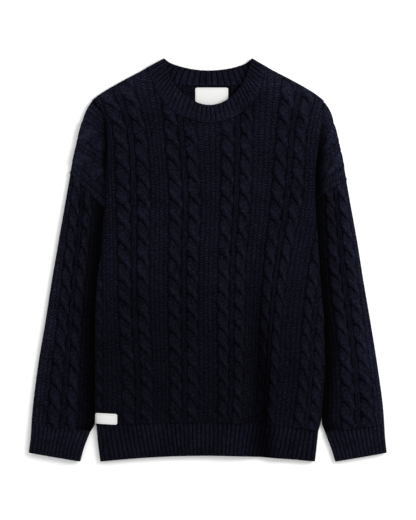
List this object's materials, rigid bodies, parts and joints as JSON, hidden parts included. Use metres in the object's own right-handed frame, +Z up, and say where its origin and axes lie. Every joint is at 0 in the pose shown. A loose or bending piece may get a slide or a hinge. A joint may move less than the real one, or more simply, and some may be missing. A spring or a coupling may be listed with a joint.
{
  "type": "cable knit sweater",
  "caption": "Crew neck cable knit sweater with long sleeves and dropped shoulders, laid flat, with ribbed collar, cuffs and hem.",
  "frame": {"origin": "on the surface that the sweater lies on, at the middle of its outline", "axes": "+Z up from the surface, +Y from hem to neck, +X to the right as the front is seen"},
  "size_m": [0.6256, 0.7044, 0.0194],
  "materials": {
    "cable_knit": "soft brushed wool knit in dark navy, cables and purl panels",
    "rib_knit": "soft brushed wool rib in dark navy",
    "woven_label": "smooth white woven tape, bare"
  },
  "bodies": {
    "root": {"front": "cable_knit", "back": "cable_knit", "sleeve_left": "cable_knit", "sleeve_right": "cable_knit", "cuff_left": "rib_knit", "cuff_right": "rib_knit", "hem_band": "rib_knit", "collar": "rib_knit", "neck_label": "woven_label", "hem_label": "woven_label"}
  },
  "joints": []
}
